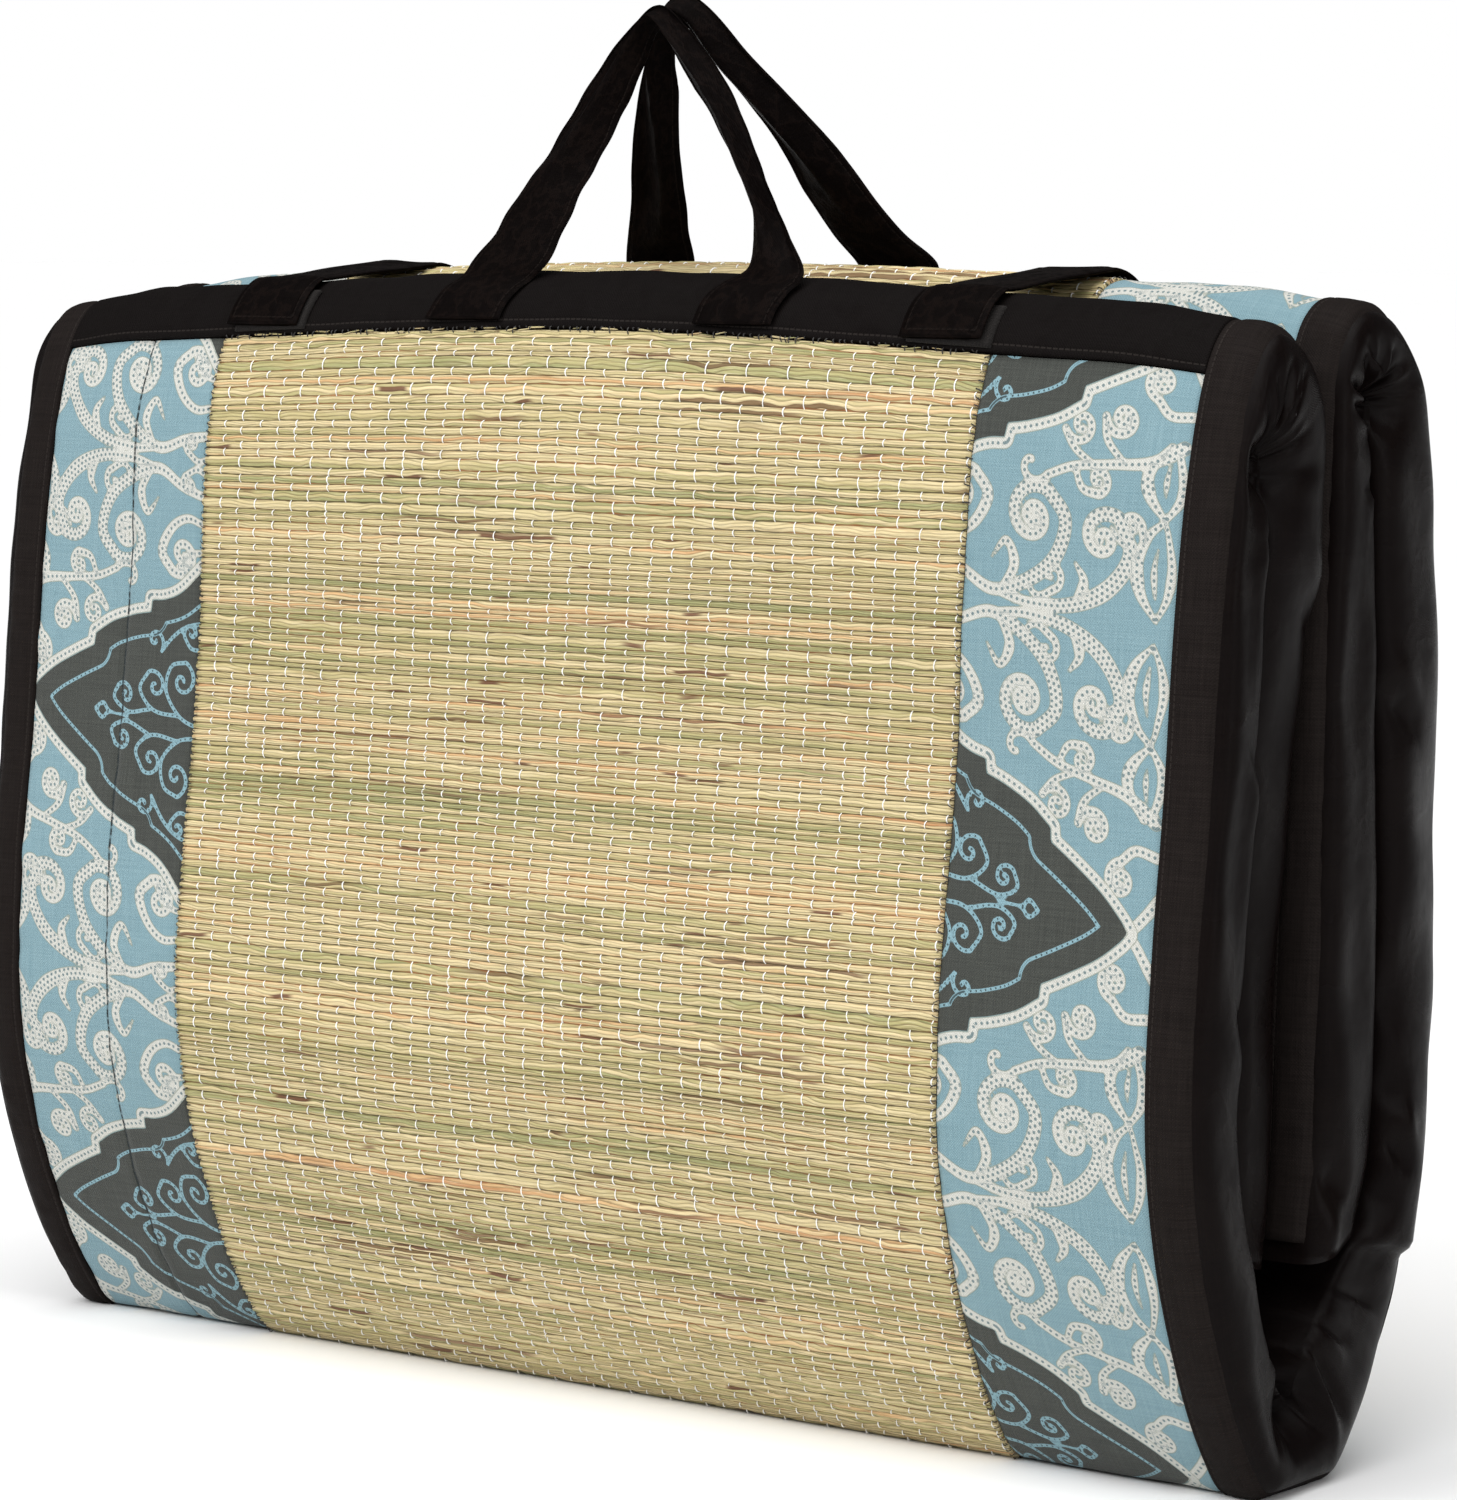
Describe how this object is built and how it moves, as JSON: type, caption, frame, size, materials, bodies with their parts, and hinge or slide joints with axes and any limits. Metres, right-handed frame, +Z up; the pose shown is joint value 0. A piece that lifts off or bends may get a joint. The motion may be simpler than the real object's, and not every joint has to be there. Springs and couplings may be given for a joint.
{
  "type": "padded rush mat, folded with carrying handles",
  "caption": "Padded rush beach mat with printed cotton sides, folded flat into a bundle that stands on its bottom bend and is carried by its handles.",
  "frame": {"origin": "middle of the bundle's bounding box at the surface that it stands on", "axes": "+X along the mat's width to the right, +Y through the folded layers to the back, +Z up"},
  "size_m": [0.6, 0.1656, 0.5388],
  "materials": {
    "cover": "polished black cotton, gathered at the folds",
    "rush": "dry pale rush stems sewn with white thread",
    "printed_cotton": "matt printed cotton, blue with off-white scrolls and charcoal medallions",
    "border_cotton": "matt black cotton, top-stitched",
    "webbing": "soft black cotton strap, folded and edge-stitched",
    "fastener": "fuzzy black loop tape"
  },
  "bodies": {
    "root": {"mat_pad": "cover", "rush_panel_front_end": "rush", "rush_panel_middle": "rush", "rush_panel_back_end": "rush", "print_left_front_end": "printed_cotton", "print_right_front_end": "printed_cotton", "print_left_middle": "printed_cotton", "print_right_middle": "printed_cotton", "print_left_back_end": "printed_cotton", "print_right_back_end": "printed_cotton", "border_left": "border_cotton", "border_right": "border_cotton", "band_front": "border_cotton", "band_back": "border_cotton", "handle_front": "webbing", "handle_back": "webbing", "strap_left": "webbing", "loop_patch_left": "fastener", "strap_right": "webbing", "loop_patch_right": "fastener"}
  },
  "joints": []
}
